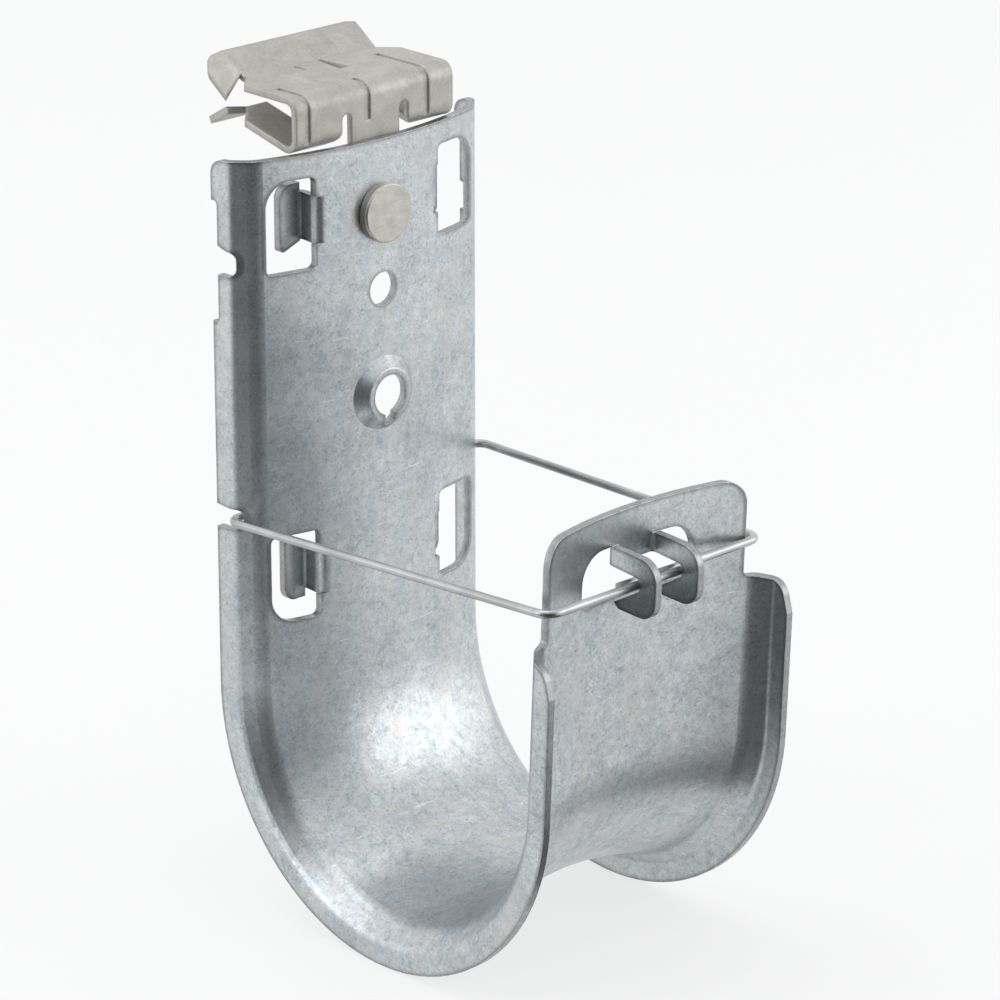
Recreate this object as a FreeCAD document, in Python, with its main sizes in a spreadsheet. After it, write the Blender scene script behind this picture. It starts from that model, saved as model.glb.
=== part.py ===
# Cable support of the J hook kind: a formed strip hook for a two inch bundle,
# a swinging wire retainer, and a spring steel flange clip riveted to its back.
# Millimetres, +Z up. The loop's axis runs along X, the back leg stands at +Y,
# the front leg at -Y. Every body is drawn about the loop's axis and then moved,
# so that the origin lies between the teeth of the clip's jaws.
import FreeCAD
import Part
import math
import os
import Sketcher

Vector = FreeCAD.Vector
Rotation = FreeCAD.Rotation

doc = FreeCAD.newDocument("CableSupport")

# Driving sizes

SIZES = [
    # the formed strip and its section
    ("sheet", 1.2),
    ("loop_radius", 25.4),
    ("hook_width", 49.9),
    ("crown_radius", 71.0),
    ("flange_rise", 9.87),
    ("flange_depth", 3.4),
    ("bevel_angle", 45.0),
    ("flange_bend", 1.3),
    ("crown_bend", 4.0),
    # the legs of the hook
    ("back_leg_height", 82.35),
    ("back_corner", 2.4),
    ("lean_angle", 2.5),
    ("front_leg_height", 40.15),
    ("front_flange_height", 24.6),
    ("flange_end_start", 3.2),
    ("flange_end_shoulder", 7.3),
    ("flange_end_fall", 0.9),
    ("flange_end_drop", 5.2),
    ("flange_end_corner", 3.0),
    ("neck_width", 40.2),
    ("neck_corner", 4.0),
    ("neck_root_corner", 1.0),
    # notches in the free edges of the back leg
    ("edge_recess", 1.25),
    ("recess_drop", 6.35),
    ("recess_length", 18.5),
    ("recess_corner", 0.6),
    ("hand_notch_depth", 4.3),
    ("hand_notch_drop", 13.1),
    ("hand_notch_height", 4.45),
    ("hand_notch_slope", 1.0),
    ("hand_notch_corner", 1.2),
    ("pivot_notch_depth", 4.6),
    ("pivot_notch_height", 2.95),
    ("pivot_notch_mouth", 3.7),
    ("pivot_notch_corner", 0.9),
    # windows of the back leg
    ("window_inner", 12.2),
    ("window_outer", 20.35),
    ("upper_window_drop", 3.6),
    ("upper_window_height", 14.1),
    ("lower_window_bottom", 9.75),
    ("lower_window_height", 13.85),
    ("window_large_corner", 4.0),
    ("window_small_corner", 1.0),
    # slide tabs folded out of the windows
    ("tab_reach", 15.82),
    ("tab_offset", 4.12),
    ("tab_height", 10.5),
    ("tab_web_height", 7.3),
    ("tab_web_inset", 1.4),
    ("tab_web_lean", 0.38),
    ("upper_tab_gap", 1.76),
    ("lower_tab_gap", 1.84),
    ("tab_hook_rise", 1.5),
    ("tab_hook_corner", 0.7),
    ("tab_bend", 0.5),
    ("tab_corner", 2.0),
    # holes up the middle of the back leg
    ("rivet_drop", 11.15),
    ("pilot_drop", 12.1),
    ("pilot_diameter", 5.2),
    ("boss_drop", 16.4),
    ("boss_diameter", 12.0),
    ("boss_top_diameter", 8.2),
    ("boss_wall", 0.5),
    ("boss_rise", 1.4),
    ("screw_diameter", 6.2),
    ("relief_slit_width", 2.0),
    ("relief_slit_length", 4.8),
    ("relief_slit_corner", 0.8),
    # the window and the wire ears of the front leg
    ("ear_window_width", 22.8),
    ("ear_window_bottom", 26.9),
    ("ear_window_top", 35.05),
    ("ear_window_corner", 4.4),
    ("ear_window_foot", 1.0),
    ("ear_span", 9.8),
    ("ear_bend", 0.6),
    ("ear_strap_bottom", 32.1),
    ("ear_reach", 9.3),
    ("ear_bottom", 25.95),
    ("ear_top_corner", 3.4),
    ("ear_foot_corner", 3.0),
    ("ear_tip_reach", 0.95),
    ("ear_tip_height", 26.8),
    ("ear_tip_corner", 0.5),
    ("ear_slot_reach", 6.05),
    ("ear_slot_floor", 30.0),
    ("ear_slot_roof", 31.85),
    ("ear_slot_corner", 0.8),
    # the wire retainer
    ("wire_diameter", 1.3),
    ("wire_bend", 2.2),
    ("pivot_height", 26.9),
    ("pivot_clearance", 0.68),
    ("wire_side_gap", 0.15),
    ("wire_neck_gap", 1.45),
    ("wire_seat_back", 0.895),
    ("wire_seat_lift", 0.609),
    ("wire_tip_gap", 0.1),
    ("wire_tip_reach", 6.9),
    # the rivet
    ("rivet_head_diameter", 9.2),
    ("rivet_head_height", 1.5),
    ("rivet_head_edge", 0.25),
    ("rivet_shank_diameter", 4.8),
    ("rivet_clearance", 0.05),
    ("rivet_tail_diameter", 7.6),
    ("rivet_tail_height", 1.2),
    ("rivet_tail_edge", 0.5),
    # the flange clip
    ("clip_sheet", 1.0),
    ("clip_width", 31.2),
    ("clip_rise", 8.55),
    ("clip_gap", 0.1),
    ("clip_bend", 1.2),
    ("clip_seat_gap", 0.03),
    ("lower_jaw_angle", 13.2),
    ("jaw_depth", 14.8),
    ("grip_depth", 15.7),
    ("grip_rise", 4.85),
    ("grip_gap", 0.8),
    ("upper_lip_lag", 0.6),
    ("upper_lip_run", 5.0),
    ("upper_lip_rise", 2.9),
    ("upper_lip_bend", 1.5),
    ("upper_tooth_lag", 1.0),
    ("upper_tooth_fall", 1.6),
    ("upper_tooth_split", 0.64),
    ("upper_tooth_hold", 0.22),
    ("tooth_width", 3.3),
    ("lower_lip_run", 4.8),
    ("lower_lip_drop", 1.9),
    ("wing_step", 1.85),
    ("wing_foot_rise", 0.3),
    ("stem_width", 9.5),
    ("stem_tail", 6.2),
    ("stem_corner", 2.0),
    ("stem_slot", 1.8),
    ("stem_slot_rise", 4.55),
    ("crease_width", 1.0),
    ("crease_depth", 0.3),
    ("crease_spacing", 11.8),
    ("crease_offset", 1.5),
    ("crease_reach", 4.5),
    ("crease_foot_rise", 3.4),
    ("lip_corner", 1.8),
    ("nick_width", 0.45),
    ("nick_length", 2.5),
    ("nick_across", 3.3),
    ("nick_depth", 11.9),
    ("barb_width", 2.4),
    ("barb_length", 6.0),
    ("barb_across", 1.9),
    ("barb_depth", 8.7),
    ("barb_drop", 1.6),
    ("barb_tip", 0.6),
]

sheet = doc.addObject("Spreadsheet::Sheet", "Sizes")
for row, (alias, number) in enumerate(SIZES, start=1):
    sheet.set("A%d" % row, alias)
    sheet.set("B%d" % row, repr(float(number)))
    sheet.setAlias("B%d" % row, alias)
doc.recompute()


class Size:
    """A number together with the sheet expression that gives it."""

    def __init__(self, number, text):
        self.number = float(number)
        self.text = text

    def __add__(self, other):
        other = as_size(other)
        return Size(self.number + other.number, "(%s + %s)" % (self.text, other.text))

    def __radd__(self, other):
        return as_size(other) + self

    def __sub__(self, other):
        other = as_size(other)
        return Size(self.number - other.number, "(%s - %s)" % (self.text, other.text))

    def __rsub__(self, other):
        return as_size(other) - self

    def __mul__(self, other):
        other = as_size(other)
        return Size(self.number * other.number, "(%s * %s)" % (self.text, other.text))

    def __rmul__(self, other):
        return as_size(other) * self

    def __truediv__(self, other):
        other = as_size(other)
        return Size(self.number / other.number, "(%s / %s)" % (self.text, other.text))

    def __neg__(self):
        return Size(-self.number, "(0 - %s)" % self.text)


def as_size(value):
    """A plain number as a Size."""
    if isinstance(value, Size):
        return value
    return Size(value, repr(float(value)))


def cell(alias):
    """The named cell of the sheet."""
    return Size(getattr(sheet, alias), "Sizes." + alias)


def root(value):
    """Square root."""
    return Size(math.sqrt(value.number), "sqrt(%s)" % value.text)


def sine(angle):
    """Sine of an angle in degrees."""
    return Size(math.sin(math.radians(angle.number)), "sin(%s)" % angle.text)


def cosine(angle):
    """Cosine of an angle in degrees."""
    return Size(math.cos(math.radians(angle.number)), "cos(%s)" % angle.text)


def tangent(angle):
    """Tangent of an angle in degrees."""
    return Size(math.tan(math.radians(angle.number)), "tan(%s)" % angle.text)


def slope_angle(rise, run):
    """Angle in degrees of a slope."""
    degrees = math.degrees(math.atan(rise.number / run.number))
    return Size(degrees, "(atan(%s / %s) / 1 deg)" % (rise.text, run.text))


def keep(alias, size):
    """Write a size that follows from others into the sheet, and name its cell."""
    keep.row += 1
    sheet.set("A%d" % keep.row, alias)
    sheet.set("B%d" % keep.row, "=" + size.text.replace("Sizes.", ""))
    sheet.setAlias("B%d" % keep.row, alias)
    doc.recompute()
    return cell(alias)


keep.row = len(SIZES)


# Sketch helpers


def new_sketch(body, role, name, lift=None, turn=None, axis=(1, 0, 0), base=None):
    """A sketch on one of the body's origin planes, lifted or turned from it."""
    sketch = body.newObject("Sketcher::SketchObject", name)
    plane = [item for item in body.Origin.OriginFeatures if item.Role == role][0]
    sketch.AttachmentSupport = [(plane, "")]
    sketch.MapMode = "FlatFace"
    angle = turn.number if turn is not None else 0.0
    place = FreeCAD.Placement(Vector(0, 0, 0), Rotation(Vector(*axis), angle))
    sketch.AttachmentOffset = place
    if turn is not None:
        sketch.setExpression("AttachmentOffset.Rotation.Angle", turn.text)
    if lift is not None:
        sketch.setExpression("AttachmentOffset.Base.z", lift.text)
    if base is not None:
        sketch.setExpression("AttachmentOffset.Base.y", base.text)
    doc.recompute()
    return sketch


def bind(sketch, kind, parts, size):
    """Add a driving constraint and bind it to its expression."""
    number = size.number
    if kind == "Angle":
        number = math.radians(number)
    index = sketch.addConstraint(Sketcher.Constraint(kind, *parts, number))
    sketch.setExpression("Constraints[%d]" % index, size.text)


def fix_point(sketch, item, end, across, up):
    """Place a point of the sketch from its origin."""
    bind(sketch, "DistanceX", (-1, 1, item, end), across)
    bind(sketch, "DistanceY", (-1, 1, item, end), up)


def draw_chain(sketch, corners, closed=True):
    """Draw straight runs through the corners, each an across, an up and, where
    the corner is round, a radius. An open chain keeps its two ends sharp."""
    count = len(corners)
    points = [Vector(as_size(c[0]).number, as_size(c[1]).number, 0) for c in corners]
    radii = [c[2] if len(c) > 2 else None for c in corners]
    runs = count if closed else count - 1
    starts = list(points)
    ends = list(points)
    arcs = {}
    for i in range(count):
        if radii[i] is None:
            continue
        before = (points[i - 1] - points[i]).normalize()
        after = (points[(i + 1) % count] - points[i]).normalize()
        half = before.getAngle(after) / 2.0
        setback = radii[i].number / math.tan(half)
        starts[i] = points[i] + after * setback
        ends[i] = points[i] + before * setback
        middle = (before + after).normalize()
        centre = points[i] + middle * (radii[i].number / math.sin(half))
        first = ends[i] - centre
        last = starts[i] - centre
        left_turn = (first.x * last.y - first.y * last.x) > 0
        begin, finish = (first, last) if left_turn else (last, first)
        circle = Part.Circle(centre, Vector(0, 0, 1), radii[i].number)
        low = math.atan2(begin.y, begin.x)
        high = math.atan2(finish.y, finish.x)
        if high < low:
            high += 2 * math.pi
        arcs[i] = (Part.ArcOfCircle(circle, low, high), left_turn)
    lines = []
    for i in range(runs):
        edge = Part.LineSegment(starts[i], ends[(i + 1) % count])
        lines.append(sketch.addGeometry(edge, False))
    for i in range(count):
        inner = closed or 0 < i < count - 1
        here = lines[i % runs] if (closed or i < runs) else lines[-1]
        here_end = 1 if (closed or i < runs) else 2
        if not inner:
            fix_point(sketch, here, here_end, as_size(corners[i][0]), as_size(corners[i][1]))
            continue
        previous = lines[i - 1]
        if radii[i] is None:
            sketch.addConstraint(Sketcher.Constraint("Coincident", previous, 2, here, 1))
            fix_point(sketch, here, 1, as_size(corners[i][0]), as_size(corners[i][1]))
            continue
        arc, left_turn = arcs[i]
        bend = sketch.addGeometry(arc, False)
        into, out = (1, 2) if left_turn else (2, 1)
        sketch.addConstraint(Sketcher.Constraint("Tangent", previous, 2, bend, into))
        sketch.addConstraint(Sketcher.Constraint("Tangent", bend, out, here, 1))
        bind(sketch, "Radius", (bend,), radii[i])
        corner = sketch.addGeometry(Part.Point(points[i]), True)
        sketch.addConstraint(Sketcher.Constraint("PointOnObject", corner, 1, previous))
        sketch.addConstraint(Sketcher.Constraint("PointOnObject", corner, 1, here))
        fix_point(sketch, corner, 1, as_size(corners[i][0]), as_size(corners[i][1]))


def draw_circle(sketch, across, up, diameter):
    """Draw a circle by its centre and diameter."""
    centre = Vector(as_size(across).number, up.number, 0)
    circle = Part.Circle(centre, Vector(0, 0, 1), diameter.number / 2.0)
    item = sketch.addGeometry(circle, False)
    bind(sketch, "Diameter", (item,), diameter)
    fix_point(sketch, item, 3, as_size(across), up)


# Feature helpers


def settle(body, feature, grows):
    """Recompute and make sure that the feature changed the solid as meant."""
    before = settle.volumes.get(body.Name, 0.0)
    feature.Refine = False
    doc.recompute()
    volume = body.Shape.Volume
    changed = volume > before if grows else volume < before
    if not changed:
        raise RuntimeError("%s left the solid as it was" % feature.Name)
    settle.volumes[body.Name] = volume
    return feature


settle.volumes = {}


def pad(body, sketch, name, length, back=False, both=False):
    """Grow the sketch into a prism of the given length."""
    feature = body.newObject("PartDesign::Pad", name)
    feature.Profile = (sketch, [""])
    feature.SideType = "Symmetric" if both else "One side"
    feature.setExpression("Length", length.text)
    feature.Reversed = back
    return settle(body, feature, True)


def pocket(body, sketch, name, length, back=False, both=False):
    """Cut the sketch out of the solid to the given depth."""
    feature = body.newObject("PartDesign::Pocket", name)
    feature.Profile = (sketch, [""])
    feature.SideType = "Symmetric" if both else "One side"
    feature.setExpression("Length", length.text)
    feature.Reversed = back
    return settle(body, feature, False)


def spin(body, sketch, name, axis, angle, groove=False, back=False):
    """Turn the sketch about one of its own axes."""
    kind = "PartDesign::Groove" if groove else "PartDesign::Revolution"
    feature = body.newObject(kind, name)
    feature.Profile = (sketch, [""])
    feature.ReferenceAxis = (sketch, [axis])
    feature.setExpression("Angle", angle.text)
    feature.Reversed = back
    return settle(body, feature, not groove)


def loft(body, first, others, name):
    """Grow a ruled solid from one sketch through others."""
    feature = body.newObject("PartDesign::AdditiveLoft", name)
    feature.Profile = (first, [""])
    feature.Sections = [(other, [""]) for other in others]
    feature.Ruled = True
    return settle(body, feature, True)


def mirror(body, features, name, grows):
    """Repeat the features on the other side of the YZ plane."""
    feature = body.newObject("PartDesign::Mirrored", name)
    plane = [item for item in body.Origin.OriginFeatures if item.Role == "YZ_Plane"][0]
    feature.Originals = features
    feature.MirrorPlane = (plane, [""])
    body.Tip = feature
    return settle(body, feature, grows)


def new_body(name):
    """A body whose origin will lie between the teeth of the clip's jaws."""
    body = doc.addObject("PartDesign::Body", name)
    body.Label = name
    doc.recompute()
    body.setExpression("Placement.Base.y", (-grip_y).text)
    body.setExpression("Placement.Base.z", (-grip_z).text)
    return body


# Shared places

sheet_gauge = cell("sheet")
loop_radius = cell("loop_radius")
half_width = cell("hook_width") / 2
crown_radius = cell("crown_radius")
crown_centre = loop_radius + crown_radius
plate_back = loop_radius + sheet_gauge
flange_edge = loop_radius + cell("flange_rise")
flange_root = flange_edge - cell("flange_depth")
plate_top = cell("back_leg_height")
lean = cell("lean_angle")
full_turn = as_size(360)
half_turn = as_size(180)
spare = as_size(4)


def far_side(across):
    """How far the back of the crowned plate lies at this distance from its middle."""
    inner = crown_radius - sheet_gauge
    return crown_centre - root(inner * inner - across * across)


def cable_side(across):
    """How far the crowned plate's cable side lies at this distance from its middle."""
    return crown_centre - root(crown_radius * crown_radius - across * across)


rivet_z = plate_top - cell("rivet_drop")
pilot_z = rivet_z - cell("pilot_drop")
boss_z = pilot_z - cell("boss_drop")
stem = cell("stem_width") / 2
clip_front = far_side(stem) + cell("clip_seat_gap")
grip_y = clip_front + cell("grip_depth")
grip_z = plate_top + cell("grip_rise")

# The wire runs from the notches of the back leg to the slots of the ears

wire = cell("wire_diameter")
pivot_z = cell("pivot_height")
pivot_floor = flange_edge - cell("pivot_notch_depth")
leg_face = plate_back
slot_end = cell("ear_slot_reach")
seat_reach = leg_face + slot_end - cell("wire_seat_back")
seat_height = cell("ear_slot_floor") + cell("wire_seat_lift")
pivot_y = keep("pivot_y", pivot_floor + wire / 2 + cell("pivot_clearance"))
seat_run = pivot_y + seat_reach * cosine(lean) + seat_height * sine(lean)
seat_rise = seat_height * cosine(lean) - seat_reach * sine(lean) - pivot_z
tilt = keep("wire_tilt", slope_angle(seat_rise, seat_run))
front_bar = keep("wire_reach", root(seat_run * seat_run + seat_rise * seat_rise))

# The strip's section


def draw_strip_section(sketch):
    """The crowned web with its bevelled flanges, cable side towards the axis."""
    bevel = cell("bevel_angle")
    outer_one = cell("flange_bend") + sheet_gauge
    outer_two = cell("crown_bend") + sheet_gauge
    b = math.radians(bevel.number)
    w, t = half_width.number, sheet_gauge.number
    r1, r2, rc = outer_one.number, outer_two.number, crown_radius.number
    yc = crown_centre.number
    corner = Vector(w, flange_root.number, 0)
    inward = Vector(-math.cos(b), math.sin(b), 0)
    along = Vector(-math.sin(b), -math.cos(b), 0)
    c1 = Vector(w - r1, flange_root.number + r1 * math.tan(b / 2), 0)
    start = corner + inward * r2 - Vector(0, yc, 0)
    p = start.dot(along)
    q = start.dot(start) - (rc - r2) ** 2
    run = math.sqrt(p * p - q) - p
    c2 = corner + inward * r2 + along * run
    to_crown = (c2 - Vector(0, yc, 0)).normalize()
    theta = math.atan2(to_crown.y, to_crown.x)
    up = Vector(0, 0, 1)
    edge = flange_edge.number
    flip = Vector(-1, 1, 0)

    def seen(point, side):
        return Vector(point.x * side, point.y, 0)

    def arc(centre, radius, low, high, side):
        circle = Part.Circle(seen(centre, side), up, radius)
        if side < 0:
            low, high = math.pi - high, math.pi - low
        return sketch.addGeometry(Part.ArcOfCircle(circle, low, high), False)

    def line(first, last, side):
        return sketch.addGeometry(Part.LineSegment(seen(first, side), seen(last, side)), False)

    constrain = sketch.addConstraint
    rule = Sketcher.Constraint
    normal = Vector(math.cos(b), -math.sin(b), 0)
    chains = {}
    crowns = {}
    for layer, shrink in (("outer", 0.0), ("inner", t)):
        radius = rc - shrink
        circle = Part.Circle(Vector(0, yc, 0), up, radius)
        low = -math.pi - theta
        crown = sketch.addGeometry(Part.ArcOfCircle(circle, low, theta), False)
        crowns[layer] = crown
        for side in (1, -1):
            flange = line(Vector(w - shrink, edge, 0), Vector(w - shrink, c1.y, 0), side)
            bend_one = arc(c1, r1 - shrink, -b, 0.0, side)
            slope = line(c1 + normal * (r1 - shrink), c2 + normal * (r2 - shrink), side)
            bend_two = arc(c2, r2 - shrink, theta, -b, side)
            near, far = (1, 2) if side > 0 else (2, 1)
            constrain(rule("Tangent", flange, 2, bend_one, far))
            constrain(rule("Tangent", bend_one, near, slope, 1))
            constrain(rule("Tangent", slope, 2, bend_two, far))
            constrain(rule("Tangent", bend_two, near, crown, far))
            constrain(rule("Vertical", flange))
            chains[layer, side] = (flange, bend_one, slope, bend_two)
    bind(sketch, "Radius", (crowns["outer"],), crown_radius)
    fix_point(sketch, crowns["outer"], 3, as_size(0), crown_centre)
    constrain(rule("Coincident", crowns["inner"], 3, crowns["outer"], 3))
    bind(sketch, "Radius", (crowns["inner"],), crown_radius - sheet_gauge)
    for side in (1, -1):
        flange, bend_one, slope, bend_two = chains["outer", side]
        inner_flange, inner_one, inner_slope, inner_two = chains["inner", side]
        bind(sketch, "Radius", (bend_one,), outer_one)
        bind(sketch, "Radius", (bend_two,), outer_two)
        fix_point(sketch, flange, 1, half_width * side, flange_edge)
        vertex = sketch.addGeometry(Part.Point(seen(corner, side)), True)
        constrain(rule("PointOnObject", vertex, 1, flange))
        constrain(rule("PointOnObject", vertex, 1, slope))
        bind(sketch, "DistanceY", (-1, 1, vertex, 1), flange_root)
        bind(sketch, "Angle", (slope,), -90 - bevel * side)
        constrain(rule("Coincident", inner_one, 3, bend_one, 3))
        constrain(rule("Coincident", inner_two, 3, bend_two, 3))
        fix_point(sketch, inner_flange, 1, (half_width - sheet_gauge) * side, flange_edge)
        rim = sketch.addGeometry(Part.LineSegment(
            seen(Vector(w, edge, 0), side), seen(Vector(w - t, edge, 0), side)), False)
        constrain(rule("Coincident", rim, 1, flange, 1))
        constrain(rule("Coincident", rim, 2, inner_flange, 1))


# Formed strip: back leg, loop and front leg share one section

hook = new_body("j_hook")
section = new_sketch(hook, "XY_Plane", "StripSection")
draw_strip_section(section)
pad(hook, section, "BackLeg", plate_top)
spin(hook, section, "Loop", "H_Axis", half_turn - lean, back=True)
front_section = new_sketch(hook, "XY_Plane", "FrontLegSection",
                           turn=half_turn - lean, axis=(-1, 0, 0))
draw_strip_section(front_section)
front_top = cell("front_leg_height")
pad(hook, front_section, "FrontLeg", front_top, back=True)

# Top corners and notches of the back leg's free edges

across_flanges = cell("hook_width") + spare
corner = cell("back_corner")
corner_view = new_sketch(hook, "YZ_Plane", "BackCornerView")
draw_chain(corner_view, [
    (flange_edge - corner - 1, plate_top),
    (flange_edge, plate_top, corner),
    (flange_edge, plate_top - corner - 1),
    (flange_edge + 1, plate_top - corner - 1),
    (flange_edge + 1, plate_top + 1),
    (flange_edge - corner - 1, plate_top + 1),
])
pocket(hook, corner_view, "BackCorner", across_flanges, both=True)

recessed = flange_edge - cell("edge_recess")
notched = flange_edge - cell("hand_notch_depth")
recess_round = cell("recess_corner")
notch_round = cell("hand_notch_corner")
recess_top = plate_top - cell("recess_drop")
recess_bottom = recess_top - cell("recess_length")
notch_top = plate_top - cell("hand_notch_drop")
notch_bottom = notch_top - cell("hand_notch_height")
edge_view = new_sketch(hook, "YZ_Plane", "EdgeRecessView")
draw_chain(edge_view, [
    (flange_edge + 1, recess_bottom),
    (recessed, recess_bottom, recess_round),
    (recessed, notch_bottom),
    (notched, notch_bottom, notch_round),
    (notched, notch_top - cell("hand_notch_slope"), notch_round),
    (recessed, notch_top),
    (recessed, recess_top, recess_round),
    (flange_edge + 1, recess_top),
])
pocket(hook, edge_view, "EdgeRecess", across_flanges, both=True)

pivot_round = cell("pivot_notch_corner")
pivot_view = new_sketch(hook, "YZ_Plane", "PivotNotchView")
draw_chain(pivot_view, [
    (flange_edge + 1, pivot_z - cell("pivot_notch_mouth") / 2),
    (flange_edge + 1, pivot_z + cell("pivot_notch_mouth") / 2),
    (pivot_floor, pivot_z + cell("pivot_notch_height") / 2, pivot_round),
    (pivot_floor, pivot_z - cell("pivot_notch_height") / 2, pivot_round),
])
pocket(hook, pivot_view, "PivotNotch", across_flanges, both=True)

# Windows of the back leg, each with a slide tab folded out behind it

window_inner = cell("window_inner")
window_outer = cell("window_outer")
large = cell("window_large_corner")
small = cell("window_small_corner")
through_back = flange_edge + 1
tab_web_root = window_inner - cell("tab_bend") - sheet_gauge
tab_face = cable_side(window_inner) + cell("tab_offset")
tab_flat_start = window_inner - cell("tab_web_lean")


def slide_tab(name, window_end, window_root, clear_end, down):
    """A window and its tab. The tab's square end lies near the window's far
    end, and its slanted hook points down or up from there."""
    sign = -1 if down else 1
    far, near = window_end, window_root
    view = new_sketch(hook, "XZ_Plane", name + "WindowView")
    draw_chain(view, [
        (window_inner, near, small),
        (window_outer, near, small),
        (window_outer, far, large),
        (window_inner, far, small),
    ])
    window = pocket(hook, view, name + "Window", through_back)
    square_end = far + clear_end * sign
    hook_end = square_end + cell("tab_height") * sign
    web_near = square_end + cell("tab_web_inset") * sign
    web_far = web_near + cell("tab_web_height") * sign
    low, high = (web_far, web_near) if down else (web_near, web_far)
    relief = new_sketch(hook, "XZ_Plane", name + "TabReliefView")
    draw_chain(relief, [
        (tab_web_root, low),
        (window_inner + small, low),
        (window_inner + small, high),
        (tab_web_root, high),
    ])
    cleared = pocket(hook, relief, name + "TabRelief", through_back)
    inner = cell("tab_bend")
    outer = inner + sheet_gauge
    root_x = tab_web_root - inner
    web_x = tab_flat_start
    joggle = new_sketch(hook, "XY_Plane", name + "TabJoggle", lift=low)
    draw_chain(joggle, [
        (root_x, cable_side(root_x)),
        (window_inner, cable_side(window_inner), outer),
        (web_x, tab_face, inner),
        (tab_flat_start + outer, tab_face),
        (tab_flat_start + outer, tab_face + sheet_gauge),
        (web_x - sheet_gauge, tab_face + sheet_gauge, outer),
        (window_inner - sheet_gauge, cable_side(window_inner) + sheet_gauge, inner),
        (root_x, cable_side(root_x) + sheet_gauge),
    ])
    web = pad(hook, joggle, name + "TabWeb", cell("tab_web_height"))
    flat = new_sketch(hook, "XZ_Plane", name + "TabFlatView", lift=-tab_face)
    draw_chain(flat, [
        (tab_flat_start, square_end),
        (cell("tab_reach"), square_end, cell("tab_corner")),
        (cell("tab_reach"), hook_end, cell("tab_hook_corner")),
        (tab_flat_start, hook_end - cell("tab_hook_rise") * sign),
    ])
    plate = pad(hook, flat, name + "TabFlat", sheet_gauge, back=True)
    mirror(hook, [window, cleared], name + "WindowPair", False)
    mirror(hook, [web, plate], name + "TabPair", True)


upper_window_top = plate_top - cell("upper_window_drop")
upper_window_bottom = upper_window_top - cell("upper_window_height")
lower_window_bottom = cell("lower_window_bottom")
lower_window_top = lower_window_bottom + cell("lower_window_height")
slide_tab("Upper", upper_window_top, upper_window_bottom, cell("upper_tab_gap"), True)
slide_tab("Lower", lower_window_bottom, lower_window_top, cell("lower_tab_gap"), False)

# Screw boss pressed out towards the cable, keyhole slit, pilot and rivet holes

boss_face = loop_radius - cell("boss_rise")
boss_base = cell("boss_diameter") / 2
boss_top = cell("boss_top_diameter") / 2
boss_wall = cell("boss_wall")
cone_view = new_sketch(hook, "YZ_Plane", "BossConeView", base=boss_z)
draw_chain(cone_view, [
    (boss_face, 0),
    (loop_radius + sheet_gauge / 2, 0),
    (loop_radius + sheet_gauge / 2, boss_base),
    (cable_side(boss_base), boss_base),
    (boss_face, boss_top, boss_wall),
])
spin(hook, cone_view, "BossCone", "H_Axis", full_turn)
dish_view = new_sketch(hook, "YZ_Plane", "BossDishView", base=boss_z)
draw_chain(dish_view, [
    (boss_face + sheet_gauge, 0),
    (plate_back + 1, 0),
    (plate_back + 1, boss_base - boss_wall),
    (far_side(boss_base), boss_base - boss_wall),
    (boss_face + sheet_gauge, boss_top - boss_wall),
])
spin(hook, dish_view, "BossDish", "H_Axis", full_turn, groove=True)

slit = cell("relief_slit_width") / 2
hole_view = new_sketch(hook, "XZ_Plane", "HoleView")
rivet_hole = cell("rivet_shank_diameter") + cell("rivet_clearance") * 2
draw_circle(hole_view, 0, pilot_z, cell("pilot_diameter"))
draw_circle(hole_view, 0, rivet_z, rivet_hole)
draw_circle(hole_view, 0, boss_z, cell("screw_diameter"))
pocket(hook, hole_view, "Holes", through_back)
slit_bottom = boss_z - cell("relief_slit_length")
slit_view = new_sketch(hook, "XZ_Plane", "SlitView")
draw_chain(slit_view, [
    (-slit, slit_bottom, cell("relief_slit_corner")),
    (slit, slit_bottom, cell("relief_slit_corner")),
    (slit, boss_z),
    (-slit, boss_z),
])
pocket(hook, slit_view, "Slit", through_back)

# Front leg: narrow neck, flange ends, window and wire ears

through_front = flange_edge + 1
neck = cell("neck_width") / 2
flange_top = cell("front_flange_height")
neck_round = cell("neck_corner")
neck_view = new_sketch(hook, "XZ_Plane", "NeckView", turn=lean)
draw_chain(neck_view, [
    (half_width + 1, flange_top),
    (neck, flange_top, cell("neck_root_corner")),
    (neck, front_top, neck_round),
    (neck - neck_round - 1, front_top),
    (neck - neck_round - 1, front_top + 1),
    (half_width + 1, front_top + 1),
])
neck_side = pocket(hook, neck_view, "NeckSide", through_front, back=True)
mirror(hook, [neck_side], "NeckSides", False)


def forward(reach):
    """Sketch place of a point this far in front of the front leg's face."""
    return -(leg_face + reach)


free_edge = cell("flange_rise") - sheet_gauge
end_view = new_sketch(hook, "YZ_Plane", "FlangeEndView", turn=lean, axis=(0, 0, 1))
draw_chain(end_view, [
    (forward(cell("flange_end_start")), flange_top),
    (forward(cell("flange_end_shoulder")), flange_top - cell("flange_end_fall"),
     cell("flange_end_corner")),
    (forward(free_edge), flange_top - cell("flange_end_drop")),
    (forward(free_edge + 1), flange_top - cell("flange_end_drop")),
    (forward(free_edge + 1), flange_top + 1),
    (forward(cell("flange_end_start")), flange_top + 1),
])
pocket(hook, end_view, "FlangeEnd", across_flanges, both=True)

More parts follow.
